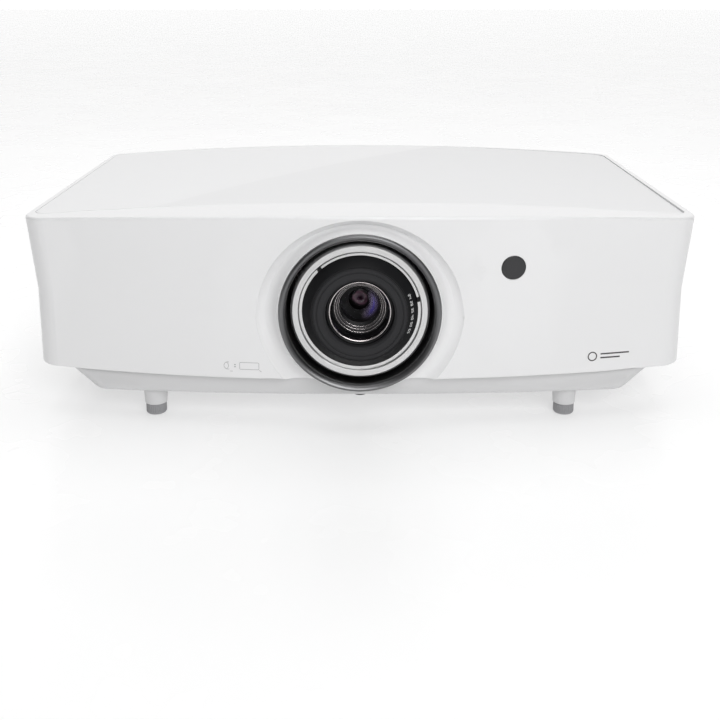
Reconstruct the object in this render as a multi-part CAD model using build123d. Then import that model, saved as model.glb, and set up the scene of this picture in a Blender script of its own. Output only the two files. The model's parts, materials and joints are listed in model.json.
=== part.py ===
from build123d import *
import os
from math import cos, pi, radians, sin, sqrt

# Home projector, 498 x 331 x 161 mm, standing on four levelling feet.
# +X is the right-hand side seen from the lens side, -Y is the lens side, +Z is up.
# The origin is at the middle of the footprint, on the surface the feet stand on. Heights below
# are the case's own; every piece is raised by -GROUND_Z as it is written.

# ---------------------------------------------------------------- case, driving dimensions
CASE_WIDTH = 498.7       # over the sharp top edges; rounding them leaves 498.0
CASE_DEPTH = 331.0
CASE_HEIGHT = 157.0
FRONT_Y = -CASE_DEPTH / 2
REAR_Y = CASE_DEPTH / 2
BASE_Z = 18.0            # underside of the bottom case
GROUND_Z = -4.0          # surface the feet stand on
LIP_Z = 35.0             # lower lip of the white upper case
WAIST_Z = 92.0           # crease where the upright lower face meets the flared upper face
CROWN_SAGITTA = 9.5      # the top is this much lower at its sides than in the middle
WAIST_INSET = 7.0        # the waist is this far inside the top edge at the sides
WAIST_FRONT_Y = -154.8
TOP_FRONT_Y = -158.5     # the top edge leans this far forward in the middle
WAIST_BOW = 950.0        # plan radius of the bowed front, at the waist
TOP_BOW = 880.0          # plan radius of the bowed front, at the top
TOP_ROUND = 2.0
FRONT_CORNER = 22.0
REAR_CORNER = 10.0
WALL = 2.8
TOP_SLAB = 5.4           # rim thickness that carries the top panel
LIP_ROUND = 1.4

HALF_WIDTH = CASE_WIDTH / 2
CROWN_RADIUS = (HALF_WIDTH**2 + CROWN_SAGITTA**2) / (2 * CROWN_SAGITTA)
SIDE_TOP_Z = CASE_HEIGHT - CROWN_SAGITTA
FLARE = WAIST_INSET / (SIDE_TOP_Z - WAIST_Z)
WAIST_HALF = HALF_WIDTH - WAIST_INSET

# ---------------------------------------------------------------- top panel
PANEL_HALF = 243.0
PANEL_FRONT_Y = -111.0
PANEL_REAR_Y = 160.0
PANEL_CORNER = 12.0
PANEL_THICK = 2.8
PANEL_GAP = 0.4
PANEL_LEDGE = 5.0
CREASE_START = (-159.0, -111.0)
CREASE_END = (59.0, 135.0)
CREASE_ANGLE = 0.32
CREASE_FLATTER = 1.02    # the facet is this much flatter than the crown, which bows the crease

# ---------------------------------------------------------------- bottom case
CHIN_TOP_Z = 40.0
CHIN_HALF = 232.3
CHIN_FRONT_Y = -149.0
CHIN_REAR_Y = 161.0
CHIN_BOW = 945.0
BASE_HALF = 201.0
BASE_FRONT_Y = -141.0
BASE_REAR_Y = 158.0
BASE_BOW = 2800.0
BASE_WALL = 2.6
BASE_SLOPE_WALL = 3.2
FLOOR_Z = BASE_Z + BASE_WALL
FLANGE_FIT = 0.1

# ---------------------------------------------------------------- feet, screws, ceiling mount
FOOT_X = 155.0
FOOT_FRONT_Y = -120.0
FOOT_REAR_Y = 125.0
STUB_TOP_R = 9.2
STUB_END_R = 8.3
STUB_END_Z = 4.6
TIP_R = 7.7
TIP_TOP_Z = 4.2
SLEEVE_R = 8.0           # part of the foot sleeve pressed into the bottom case
STUD_R = 4.0
STUD_TOP_Z = 40.0
STUD_FIT = 0.06
BOSS_TOP_Z = 42.0
POST_FRONT = (180.0, -114.0)
POST_REAR = (185.0, 146.0)
INSERT_X = 110.0
INSERT_Y = 80.0
INSERT_R = 3.2
INSERT_BORE_R = 2.0
INSERT_TOP_Z = 27.0

# ---------------------------------------------------------------- lens
LENS_Z = 88.0
RING_OUTER_R = 57.5
RING_INNER_R = 52.6
DISH_FLOOR_Y = -149.5
DISH_FLOOR_R = 68.4
DISH_ROUND = 10.2
DISH_TOP_DROP = 12.3
COLLAR_R = 57.65         # the dish curves up again to a collar round the trim ring
COLLAR_TOP_R = 58.3
COLLAR_Y = -163.0
SURROUND_R = 82.0        # thick ring of the upper case behind the dish
SURROUND_BACK_Y = -143.5
LENS_HOLE_R = 56.0
HOOD_OUTER_R = 55.8
ZOOM_OUTER_R = 49.4
ZOOM_FRONT_Y = -158.5
BARREL_R = 43.2
BARREL_RIM_Y = -156.8
TUBE_R = 28.0
FOCUS_OUTER_R = 33.6
FOCUS_INNER_R = 24.6
GLASS_R = 22.3
INNER_GLASS_R = 14.5
RUNNING_FIT = 0.06

# ---------------------------------------------------------------- lens shift
ROD_R = 3.0
SCREW_R = 2.5
X_ROD_Y = -90.0
Z_ROD_Y = -78.0
ROD_REACH = 50.0
Z_ROD_X = 38.0
X_SCREW_Z = 48.0
Z_SCREW_X = 52.0

# ---------------------------------------------------------------- remote window, rear, vents
IR_X = 109.0
IR_Z = 118.0
IR_R = 8.8
REAR_PANEL_HALF = 180.0
REAR_PANEL_LOW = 42.0
REAR_PANEL_HIGH = 131.0
REAR_PANEL_THICK = 2.5
SOCKET_WINDOW = (68.0, 87.0)                                   # lower and upper edge
FRAME_EDGES = (-96.0, -72.5, -46.5, -10.0, 12.5, 33.5, 58.0, 88.0)   # joints between the frames
FRAME_FIT = 0.1
SOCKET_MARGIN = 1.4      # from a socket's mouth to the edge of its hole
VENT_Y0 = -70.0
VENT_Y1 = 120.0
VENT_Z0 = 46.0
VENT_Z1 = 88.0

# ---------------------------------------------------------------- inside
ENGINE = (-45.0, 100.0, -56.0, 20.0, 36.0, 136.0)
FAN_SIZE = 92.0
FAN_THICK = 25.0
FAN_X = 187.5
FAN_Y = 16.0
FAN_BORE_R = 43.0
WHEEL_X = 62.0
WHEEL_Y = -18.0
BOARD_Z = 70.0
BOARD_THICK = 1.6
SOCKET_FACE_Y = 163.5
AUDIO_Z = 80.0
OVERLAP = 0.01           # pieces of one solid run into each other by this much
LIGHT_Z = 120.0
LIGHT_R = 1.5
LIGHT_XS = (136.0, 146.0, 156.0)
KEY_FACE_Y = 164.4
KEY_STOP_Y = REAR_Y - WALL - REAR_PANEL_THICK - 0.1


# ================================================================ helpers
def block(x0, x1, y0, y1, z0, z1):
    """Box between two corners."""
    centre = ((x0 + x1) / 2, (y0 + y1) / 2, (z0 + z1) / 2)
    return Pos(*centre) * Box(abs(x1 - x0), abs(y1 - y0), abs(z1 - z0))


def rod_x(x0, x1, y, z, radius):
    """Cylinder along X."""
    return Pos((x0 + x1) / 2, y, z) * Rot(0, 90, 0) * Cylinder(radius, abs(x1 - x0))


def rod_y(x, y0, y1, z, radius):
    """Cylinder along Y."""
    return Pos(x, (y0 + y1) / 2, z) * Rot(90, 0, 0) * Cylinder(radius, abs(y1 - y0))


def rod_z(x, y, z0, z1, radius):
    """Cylinder along Z."""
    return Pos(x, y, (z0 + z1) / 2) * Cylinder(radius, abs(z1 - z0))


def turned_y(points):
    """Solid of revolution about the lens axis, from (radius, y) points."""
    profile = make_face(Polyline(*points, close=True))
    return Pos(0, 0, LENS_Z) * revolve(profile, Axis.Y)


def outline(half_width, front_y, bow_radius, rear_y, front_corner, rear_corner, z):
    """Plan outline with a bowed front, square sides and rounded corners."""
    side_y = front_y + bow_radius - sqrt(bow_radius**2 - half_width**2)
    left, right = (-half_width, side_y), (half_width, side_y)
    rear_right, rear_left = (half_width, rear_y), (-half_width, rear_y)
    edges = Curve() + [
        ThreePointArc(left, (0, front_y), right),
        Line(right, rear_right),
        Line(rear_right, rear_left),
        Line(rear_left, left),
    ]
    face = make_face(edges)
    face = fillet(face.vertices().sort_by(Axis.Y)[-2:], rear_corner)
    face = fillet(face.vertices().sort_by(Axis.Y)[:2], front_corner)
    return Pos(0, 0, z) * face


def case_outline(z, inset):
    """Outline of the upper case at height z, moved in by the inset."""
    rise = max(0.0, z - WAIST_Z)
    share = rise / (CASE_HEIGHT - WAIST_Z)
    return outline(
        WAIST_HALF + FLARE * rise - inset,
        WAIST_FRONT_Y + (TOP_FRONT_Y - WAIST_FRONT_Y) * share + inset,
        WAIST_BOW + (TOP_BOW - WAIST_BOW) * share - inset,
        REAR_Y - inset,
        FRONT_CORNER + FLARE * rise / 2 - inset,
        REAR_CORNER - inset / 2,
        z,
    )


def case_block(z0, inset):
    """Upright lower part and flared upper part, closed, up to well above the crown."""
    lower = extrude(case_outline(z0, inset), WAIST_Z - z0)
    upper = loft([case_outline(WAIST_Z, inset), case_outline(CASE_HEIGHT + 5, inset)], ruled=True)
    return lower + upper


def crown_block(drop, radius=CROWN_RADIUS):
    """Everything below the crowned top, which is curved across X and level along Y."""
    reach = 300.0
    peak = CASE_HEIGHT - drop
    edge = peak - (radius - sqrt(radius**2 - reach**2))
    section = Curve() + [
        ThreePointArc((-reach, edge), (0, peak), (reach, edge)),
        Line((reach, edge), (reach, -20)),
        Line((reach, -20), (-reach, -20)),
        Line((-reach, -20), (-reach, edge)),
    ]
    face = Plane.XZ * make_face(section)
    return extrude(face, 250, both=True)


def rounded_plate(x0, x1, y0, y1, corner, z0, z1):
    """Plate with rounded upright corners."""
    face = Pos((x0 + x1) / 2, (y0 + y1) / 2, z0) * RectangleRounded(x1 - x0, y1 - y0, corner)
    return extrude(face, z1 - z0)


def front_y(x, z):
    """Y of the bowed front face."""
    share = max(0.0, z - WAIST_Z) / (CASE_HEIGHT - WAIST_Z)
    waist_y = WAIST_FRONT_Y + WAIST_BOW - sqrt(WAIST_BOW**2 - x**2)
    top_y = TOP_FRONT_Y + TOP_BOW - sqrt(TOP_BOW**2 - x**2)
    return waist_y + (top_y - waist_y) * share


def front_plane(x, z):
    """Plane on the front face, facing out."""
    step = 0.5
    slope_x = (front_y(x + step, z) - front_y(x - step, z)) / (2 * step)
    slope_z = (front_y(x, z + step) - front_y(x, z - step)) / (2 * step)
    return Plane(origin=(x, front_y(x, z), z), z_dir=(slope_x, -1, slope_z))


def pocket(x0, x1, z0, z1, depth, wall):
    """Open-mouthed socket shell facing the rear, from its inner opening."""
    y0 = SOCKET_FACE_Y - depth - wall
    shell = block(x0 - wall, x1 + wall, y0, SOCKET_FACE_Y, z0 - wall, z1 + wall)
    return shell - block(x0, x1, SOCKET_FACE_Y - depth, SOCKET_FACE_Y + 1, z0, z1)


# ================================================================ case
def facet_block():
    """Crown copy tipped about the crease, which lowers the right-hand part of the panel."""
    (x0, y0), (x1, y1) = CREASE_START, CREASE_END
    z0 = CASE_HEIGHT - CROWN_RADIUS + sqrt(CROWN_RADIUS**2 - x0**2)
    z1 = CASE_HEIGHT - CROWN_RADIUS + sqrt(CROWN_RADIUS**2 - x1**2)
    flat_radius = CROWN_RADIUS * CREASE_FLATTER
    low0 = flat_radius - sqrt(flat_radius**2 - x0**2)
    low1 = flat_radius - sqrt(flat_radius**2 - x1**2)
    # drop and tip the flatter crown so that it meets the crown at both ends of the crease
    lift0 = z0 - (CASE_HEIGHT - low0)
    lift1 = z1 - (CASE_HEIGHT - low1)
    block_ = Pos(0, 0, (lift0 + lift1) / 2) * crown_block(0, flat_radius)
    crease = Axis((x0, y0, z0), (x1 - x0, y1 - y0, z1 - z0))
    return block_.rotate(crease, CREASE_ANGLE)


def round_dish(centre_z):
    """Turned cutter: flat floor, round rise, near-upright wall."""
    rise_r = DISH_FLOOR_R + DISH_ROUND
    rise_y = DISH_FLOOR_Y - DISH_ROUND
    mid = DISH_ROUND * sqrt(0.5)
    far_y = FRONT_Y - 20
    section = Curve() + [
        Line((0, DISH_FLOOR_Y), (DISH_FLOOR_R, DISH_FLOOR_Y)),
        ThreePointArc(
            (DISH_FLOOR_R, DISH_FLOOR_Y),
            (DISH_FLOOR_R + mid, rise_y + mid),
            (rise_r, rise_y),
        ),
        Line((rise_r, rise_y), (rise_r + 1.2, far_y)),
        Line((rise_r + 1.2, far_y), (0, far_y)),
        Line((0, far_y), (0, DISH_FLOOR_Y)),
    ]
    return Pos(0, 0, centre_z) * revolve(make_face(section), Axis.Y)


def lens_dish():
    """Cutter for the dished surround, flattened above so that it ends at the top edge."""
    dish = round_dish(LENS_Z) & round_dish(LENS_Z - DISH_TOP_DROP)
    return dish + rod_y(0, FRONT_Y - 20, DISH_FLOOR_Y, LENS_Z, RING_OUTER_R)


def lens_collar():
    """White collar that hugs the trim ring and runs out in a cove into the dish."""
    rear_y = DISH_FLOOR_Y + 1
    cove = Spline(
        (COLLAR_TOP_R, COLLAR_Y), (DISH_FLOOR_R, DISH_FLOOR_Y), tangents=[(0.25, 1), (1, 0)]
    )
    section = Curve() + [
        Line((COLLAR_R, rear_y), (COLLAR_R, COLLAR_Y)),
        Line((COLLAR_R, COLLAR_Y), (COLLAR_TOP_R, COLLAR_Y)),
        cove,
        Line((DISH_FLOOR_R, DISH_FLOOR_Y), (DISH_FLOOR_R, rear_y)),
        Line((DISH_FLOOR_R, rear_y), (COLLAR_R, rear_y)),
    ]
    ring = Pos(0, 0, LENS_Z) * revolve(make_face(section), Axis.Y)
    return ring & block(-SURROUND_R, SURROUND_R, FRONT_Y, rear_y + 1, LIP_Z, CASE_HEIGHT - TOP_ROUND)


def corner_posts(z0, z1, radius):
    """Upright round posts at the four case screws."""
    return [
        rod_z(side * x, y, z0, z1, radius)
        for x, y in (POST_FRONT, POST_REAR)
        for side in (-1, 1)
    ]


def upper_case():
    solid_block = case_block(LIP_Z, 0)
    solid_block = fillet(solid_block.edges().group_by(Axis.Z)[0], LIP_ROUND)
    outer = solid_block & crown_block(0)
    top_edges = outer.faces().sort_by(Axis.Z)[-1].edges()
    outer = fillet(top_edges, TOP_ROUND)
    cavity = case_block(LIP_Z - 1, WALL) & crown_block(TOP_SLAB)
    shell = outer - cavity
    # thick ring behind the dished surround
    shell += rod_y(0, -165, SURROUND_BACK_Y, LENS_Z, SURROUND_R) & outer
    shell -= lens_dish()
    shell += lens_collar()
    shell -= rod_y(0, -170, -130, LENS_Z, LENS_HOLE_R)
    # seat and opening for the top panel
    gap = PANEL_GAP
    seat = rounded_plate(
        -PANEL_HALF - gap, PANEL_HALF + gap, PANEL_FRONT_Y - gap, PANEL_REAR_Y + gap,
        PANEL_CORNER + gap, 120, 170,
    )
    shell -= seat - crown_block(PANEL_THICK)
    inset = PANEL_LEDGE
    shell -= rounded_plate(
        -PANEL_HALF + inset, PANEL_HALF - inset, PANEL_FRONT_Y + inset, PANEL_REAR_Y - inset,
        PANEL_CORNER - inset, 120, 170,
    )
    # posts for the case screws, tied to the rim in front and to the rear wall behind
    front_posts = corner_posts(CHIN_TOP_Z, CASE_HEIGHT, 4.5)[:2]
    rear_posts = corner_posts(CHIN_TOP_Z, 130, 4.5)[2:]
    for post in front_posts:
        shell += post & crown_block(TOP_SLAB - 1)
    for post, side in zip(rear_posts, (-1, 1)):
        x = side * POST_REAR[0]
        shell += post + block(x - 1.5, x + 1.5, POST_REAR[1], REAR_Y - 1, 60, 130)
    for bore in corner_posts(CHIN_TOP_Z - 1, 54, 1.5):
        shell -= bore
    # rear window and side vents
    edge = 3.0
    shell -= block(
        -REAR_PANEL_HALF + edge, REAR_PANEL_HALF - edge, REAR_Y - 6, REAR_Y + 6,
        REAR_PANEL_LOW + edge, REAR_PANEL_HIGH - edge,
    )
    for side in (-1, 1):
        shell -= block(side * 225, side * 260, VENT_Y0, VENT_Y1, VENT_Z0, VENT_Z1)
    # hole for the remote window
    shell -= front_plane(IR_X, IR_Z) * Cylinder(IR_R + 0.2, 14)
    return shell


def top_panel():
    plate = rounded_plate(
        -PANEL_HALF, PANEL_HALF, PANEL_FRONT_Y, PANEL_REAR_Y, PANEL_CORNER, 120, 170
    )
    return (plate & crown_block(0) & facet_block()) - crown_block(PANEL_THICK)


def base_outline(z, inset):
    """Chin outline: wide and bowed at its top, narrower and flatter at the base."""
    share = (CHIN_TOP_Z - z) / (CHIN_TOP_Z - BASE_Z)

    def between(top, bottom):
        return top + (bottom - top) * share

    return outline(
        between(CHIN_HALF, BASE_HALF) - inset,
        between(CHIN_FRONT_Y, BASE_FRONT_Y) + inset,
        CHIN_BOW if share == 0 else BASE_BOW,
        between(CHIN_REAR_Y, BASE_REAR_Y) - inset,
        22.0 - inset,
        11.0 - inset,
        z,
    )


def feet_places():
    """Centres of the four feet, by name."""
    return {
        "front_left": (-FOOT_X, FOOT_FRONT_Y),
        "front_right": (FOOT_X, FOOT_FRONT_Y),
        "rear_left": (-FOOT_X, FOOT_REAR_Y),
        "rear_right": (FOOT_X, FOOT_REAR_Y),
    }


def insert_places():
    """Centres of the four ceiling-mount inserts."""
    return [(sx * INSERT_X, sy * INSERT_Y) for sx in (-1, 1) for sy in (-1, 1)]


def bottom_case():
    outer = loft([base_outline(BASE_Z, 0), base_outline(CHIN_TOP_Z, 0)], ruled=True)
    outer = fillet(outer.edges().group_by(Axis.Z)[0], 4)
    slope = BASE_SLOPE_WALL
    inner = loft([base_outline(FLOOR_Z, slope), base_outline(CHIN_TOP_Z, slope)], ruled=True)
    # the flange closes the gap to the upper case above the lip
    flange = extrude(case_outline(CHIN_TOP_Z - 2, WALL + FLANGE_FIT), 2)
    shell = (outer - inner) + (flange - inner)
    for boss in corner_posts(BASE_Z + 0.5, CHIN_TOP_Z, 6.5):
        shell += boss
    for x, y in insert_places():
        shell += rod_z(x, y, BASE_Z + 0.5, INSERT_TOP_Z + 1, 6)
    for x, y in feet_places().values():
        shell -= rod_z(x, y, BASE_Z - 1, FLOOR_Z + 1, SLEEVE_R)
    for x, y in insert_places():
        shell -= rod_z(x, y, BASE_Z - 1, INSERT_TOP_Z, INSERT_R)
    for hole in corner_posts(BASE_Z - 1, CHIN_TOP_Z + 1, 1.7):
        shell -= hole
    for head in corner_posts(BASE_Z - 1, BASE_Z + 5, 3.4):
        shell -= head
    # room for the thick ring behind the lens surround and for the lens well
    surround = rod_y(0, -170, SURROUND_BACK_Y + 0.2, LENS_Z, SURROUND_R + 0.2)
    shell -= surround & block(-100, 100, -180, -140, LIP_Z - 0.1, CHIN_TOP_Z + 1)
    shell -= rod_y(0, -170, -100, LENS_Z, LENS_HOLE_R + 0.2)
    # intake slots under the light engine
    for index in range(14):
        x = -40 + index * 6
        shell -= block(x, x + 2.4, -40, 10, BASE_Z - 1, FLOOR_Z + 1)
    return shell


def case_screws():
    screws = []
    heads = corner_posts(BASE_Z + 2.4, BASE_Z + 5, 3.0)
    shanks = corner_posts(BASE_Z + 5, 52, 1.5)
    for head, shank in zip(heads, shanks):
        screws.append(head + shank)
    return Compound(screws)


def mount_inserts():
    tubes = []
    for x, y in insert_places():
        tube = rod_z(x, y, BASE_Z, INSERT_TOP_Z, INSERT_R)
        tubes.append(tube - rod_z(x, y, BASE_Z - 1, INSERT_TOP_Z + 1, INSERT_BORE_R))
    return Compound(tubes)


def foot_sleeves():
    """Tapered sleeves under the case, pressed into it, that hold the studs of the feet."""
    sleeves = []
    for x, y in feet_places().values():
        stub = Pos(x, y, (STUB_END_Z + BASE_Z) / 2) * Cone(STUB_END_R, STUB_TOP_R, BASE_Z - STUB_END_Z)
        sleeve = stub + rod_z(x, y, BASE_Z, BOSS_TOP_Z, SLEEVE_R)
        sleeves.append(sleeve - rod_z(x, y, 0, BOSS_TOP_Z + 1, STUD_R + STUD_FIT))
    return Compound(sleeves)


def foot_stud(x, y):
    """Threaded stud that climbs in the foot stub."""
    stud = rod_z(x, y, TIP_TOP_Z - 5, STUD_TOP_Z, STUD_R)
    return chamfer(stud.edges().group_by(Axis.Z)[-1], 0.6)


def foot_tip(x, y):
    """Finely ribbed turning tip with a rounded lower edge."""
    tip = rod_z(x, y, GROUND_Z, TIP_TOP_Z, TIP_R)
    tip = fillet(tip.edges().group_by(Axis.Z)[0], 1.8)
    tip = chamfer(tip.edges().group_by(Axis.Z)[-1], 0.5)
    ribs = 30
    groove_r = 0.35
    grooves = [
        rod_z(x + TIP_R * cos(angle), y + TIP_R * sin(angle), GROUND_Z + 2.2, TIP_TOP_Z + 1, groove_r)
        for angle in (2 * pi * k / ribs for k in range(ribs))
    ]
    tip -= grooves
    return tip - rod_z(x, y, TIP_TOP_Z - 5 - STUD_FIT, TIP_TOP_Z + 1, STUD_R + STUD_FIT)


def front_boss():
    """Small dark half-round boss under the middle of the chin."""
    boss = rod_z(0, BASE_FRONT_Y + 9, BASE_Z - 1.6, BASE_Z, 6)
    return fillet(boss.edges().group_by(Axis.Z)[0], 1.0)


def rear_panel():
    y0 = REAR_Y - WALL - REAR_PANEL_THICK
    y1 = REAR_Y - WALL
    panel = block(-REAR_PANEL_HALF, REAR_PANEL_HALF, y0, y1, REAR_PANEL_LOW, REAR_PANEL_HIGH)
    low = y0 - 1
    high = y1 + 1
    panel -= block(FRAME_EDGES[0], FRAME_EDGES[-1], low, high, *SOCKET_WINDOW)
    x0, x1, z0, z1 = socket_openings()["inlet"]
    rim = SOCKET_MARGIN
    panel -= block(x0 - rim, x1 + rim, low, high, z0 - rim, z1 + rim)
    for (x, z, radius) in button_places().values():
        panel -= rod_y(x, low, high, z, radius + 0.3)
    for x in LIGHT_XS:
        panel -= rod_y(x, low, high, LIGHT_Z, LIGHT_R)
    # exhaust slots over the sockets
    for index in range(24):
        x = -106 + index * 9
        panel -= block(x, x + 2.6, low, high, 104, 124)
    return panel


def socket_frames():
    """Frames side by side, one for each connector, held in the panel's window by a lip behind."""
    front = REAR_Y - WALL
    back = front - REAR_PANEL_THICK
    z0, z1 = SOCKET_WINDOW
    fit, rim = FRAME_FIT, SOCKET_MARGIN
    frames = []
    for left, right in zip(FRAME_EDGES[:-1], FRAME_EDGES[1:]):
        frame = block(left + fit, right - fit, back - 0.6, front, z0 + fit, z1 - fit)
        frame += block(left + fit, right - fit, back - 0.6, back - 0.05, z0 - 1, z1 + 1)
        frames.append(frame)
    for index, name in enumerate(("hdmi_1", "hdmi_2", "vga", "usb_1", "usb_2", "lan")):
        x0, x1, low, high = socket_openings()[name]
        frames[index] -= block(x0 - rim, x1 + rim, back - 1, front + 1, low - rim, high + rim)
    for x, radius in audio_places():
        frames[-1] -= rod_y(x, back - 1, front + 1, AUDIO_Z, radius + FRAME_FIT)
    return Compound(frames)


def side_vents():
    """Louvred grille in each side, flush with the wall, on a backing rim."""
    face_x = WAIST_HALF
    fit = 0.1
    plate = block(
        face_x - WALL, face_x - 0.2, VENT_Y0 + fit, VENT_Y1 - fit, VENT_Z0 + fit, VENT_Z1 - fit
    )
    rim = block(
        face_x - WALL - 2, face_x - WALL, VENT_Y0 - 4, VENT_Y1 + 4, VENT_Z0 - 4, VENT_Z1 + 4
    )
    grille = plate + rim
    slots = 31
    pitch = (VENT_Y1 - VENT_Y0 - 8) / slots
    for index in range(slots):
        y = VENT_Y0 + 4 + (index + 0.5) * pitch
        slot = Box(30, 3.2, VENT_Z1 - VENT_Z0 - 8)
        grille -= Pos(face_x, y, (VENT_Z0 + VENT_Z1) / 2) * Rot(0, 0, -35) * slot
    return Compound([grille, mirror(grille, Plane.YZ)])


def ir_window():
    disc = Cylinder(IR_R, 4.6)
    disc = fillet(disc.edges().group_by(Axis.Z)[-1], 0.6)
    rim = Pos(0, 0, -3.3) * Cylinder(IR_R + 2.2, 2.0)
    return front_plane(IR_X, IR_Z) * Pos(0, 0, -1.9) * (disc + rim)


def status_lights():
    y0 = REAR_Y - WALL - REAR_PANEL_THICK - 4
    return Compound([rod_y(x, y0, SOCKET_FACE_Y, LIGHT_Z, LIGHT_R) for x in LIGHT_XS])


# ================================================================ lens
def lens_trim_ring():
    middle = (RING_OUTER_R + RING_INNER_R) / 2
    shoulder = FRONT_Y + 1.6
    section = Curve() + [
        Line((RING_INNER_R, DISH_FLOOR_Y), (RING_INNER_R, shoulder + 2.4)),
        ThreePointArc(
            (RING_INNER_R, shoulder + 2.4), (middle - 0.9, FRONT_Y + 0.9), (middle + 0.6, FRONT_Y)
        ),
        ThreePointArc(
            (middle + 0.6, FRONT_Y), (RING_OUTER_R - 0.5, FRONT_Y + 0.5), (RING_OUTER_R, shoulder)
        ),
        Line((RING_OUTER_R, shoulder), (RING_OUTER_R, DISH_FLOOR_Y)),
        Line((RING_OUTER_R, DISH_FLOOR_Y), (RING_INNER_R, DISH_FLOOR_Y)),
    ]
    return Pos(0, 0, LENS_Z) * revolve(make_face(section), Axis.Y)


def lens_mount_plate():
    """Fixed plate with the black well in front and the lugs of the X rods behind."""
    plate = block(-66, 66, -100, -96, FLOOR_Z, 142)
    plate += block(-66, 66, -100, -84, FLOOR_Z, FLOOR_Z + 3)
    hood = rod_y(0, DISH_FLOOR_Y, -100, LENS_Z, HOOD_OUTER_R)
    plate += hood
    plate -= rod_y(0, DISH_FLOOR_Y - 1, -100, LENS_Z, RING_INNER_R)
    plate -= rod_y(0, -101, -95, LENS_Z, 33)
    for z in (LENS_Z - ROD_REACH, LENS_Z + ROD_REACH, X_SCREW_Z):
        for side in (-1, 1):
            plate += block(side * 62, side * 66, -97, X_ROD_Y + 5, z - 4, z + 4)
    for z in (LENS_Z - ROD_REACH, LENS_Z + ROD_REACH):
        plate -= rod_x(-67, 67, X_ROD_Y, z, ROD_R)
    plate -= rod_x(-67, 67, X_ROD_Y, X_SCREW_Z, SCREW_R + RUNNING_FIT)
    return plate


def shift_rods_x():
    return Compound(
        [rod_x(-66, 66, X_ROD_Y, LENS_Z + side * ROD_REACH, ROD_R) for side in (-1, 1)]
    )


def lens_slide_x():
    """Carriage that slides sideways and carries the upright rods."""
    left, right = -44, 58
    low, high = LENS_Z - ROD_REACH, LENS_Z + ROD_REACH
    slide = block(left, right, -92, -88, low, high)
    for z in (low, high):
        slide += rod_x(left, right, X_ROD_Y, z, 4.8)
    slide -= rod_y(0, -93, -87, LENS_Z, 33)
    # lugs of the upright rods and of the upright screw
    for z in (46, 128):
        for side in (-1, 1):
            x = side * Z_ROD_X
            slide += block(x - 5, x + 5, -89, -73, z - 3, z + 3)
    for z in (62, 114):
        slide += block(Z_SCREW_X - 5, Z_SCREW_X + 5, -89, -72, z - 3, z + 3)
    # window beside the nut of the sideways screw
    nut_z0, nut_z1 = X_SCREW_Z - 4.4, X_SCREW_Z + 4.4
    for x0, x1 in ((-32, -10), (10, 32)):
        slide -= block(x0, x1, -93, -87, nut_z0, nut_z1)
    slide += rod_x(-10, 10, X_ROD_Y, X_SCREW_Z, 4.4)
    for z in (low, high):
        slide -= rod_x(-70, 70, X_ROD_Y, z, ROD_R + RUNNING_FIT)
    slide -= rod_x(-70, 70, X_ROD_Y, X_SCREW_Z, SCREW_R + RUNNING_FIT)
    for side in (-1, 1):
        slide -= rod_z(side * Z_ROD_X, Z_ROD_Y, 40, 134, ROD_R)
    slide -= rod_z(Z_SCREW_X, Z_ROD_Y, 50, 120, SCREW_R + RUNNING_FIT)
    return slide


def shift_rods_z():
    return Compound([rod_z(side * Z_ROD_X, Z_ROD_Y, 43, 131, ROD_R) for side in (-1, 1)])


def lens_slide_z():
    """Carriage that slides up and down and holds the barrel."""
    slide = block(-44, 44, -80, -76, 54, 122)
    for side in (-1, 1):
        slide += rod_z(side * Z_ROD_X, Z_ROD_Y, 54, 122, 4.8)
    slide += block(40, Z_SCREW_X + 5, -82, -74, LENS_Z - 5, LENS_Z + 5)
    slide -= rod_y(0, -81, -75, LENS_Z, TUBE_R)
    for side in (-1, 1):
        slide -= rod_z(side * Z_ROD_X, Z_ROD_Y, 50, 126, ROD_R + RUNNING_FIT)
    return slide - rod_z(Z_SCREW_X, Z_ROD_Y, 70, 110, SCREW_R + RUNNING_FIT)


def leadscrew_x():
    screw = rod_x(-65, 76, X_ROD_Y, X_SCREW_Z, SCREW_R)
    return screw + rod_x(66.4, 68.4, X_ROD_Y, X_SCREW_Z, 4)


def leadscrew_z():
    screw = rod_z(Z_SCREW_X, Z_ROD_Y, 60, 126, SCREW_R)
    return screw + rod_z(Z_SCREW_X, Z_ROD_Y, 117.4, 119.4, 4)


def gear_motor(length, size):
    """Small gear motor standing along Z from 0 with a shaft bore in its lower end."""
    body = extrude(RectangleRounded(size, size, 2), 8)
    body += Pos(0, 0, 8 + (length - 8) / 2) * Cylinder(size / 2 - 0.8, length - 8)
    body += Pos(0, 0, length + 0.75) * Cylinder(2.5, 1.5)
    return body - Pos(0, 0, 3) * Cylinder(SCREW_R + RUNNING_FIT, 14)


def shift_motor_x():
    motor = Pos(68.8, X_ROD_Y, X_SCREW_Z) * Rot(0, 90, 0) * gear_motor(24, 13)
    bracket = block(66, 68.8, -97, -95, X_SCREW_Z - 6, X_SCREW_Z + 6)
    return motor + bracket + block(66, 74, -97, -95, X_SCREW_Z - 6, X_SCREW_Z + 6)


def shift_motor_z():
    motor = Pos(Z_SCREW_X, Z_ROD_Y, 119.8) * gear_motor(16, 13)
    return motor + block(Z_SCREW_X - 6, Z_SCREW_X + 6, -88, -84, 117, 126)


def arc_bar(r0, r1, y0, y1, start, end):
    """Bar along an arc about the lens axis; angles in degrees, seen from the front."""
    span = end - start
    section = Pos((r0 + r1) / 2, (y0 + y1) / 2) * Rectangle(r1 - r0, abs(y1 - y0))
    bar = revolve(section, Axis.Y, -span)
    return Pos(0, 0, LENS_Z) * bar.rotate(Axis.Y, -start)


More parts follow.
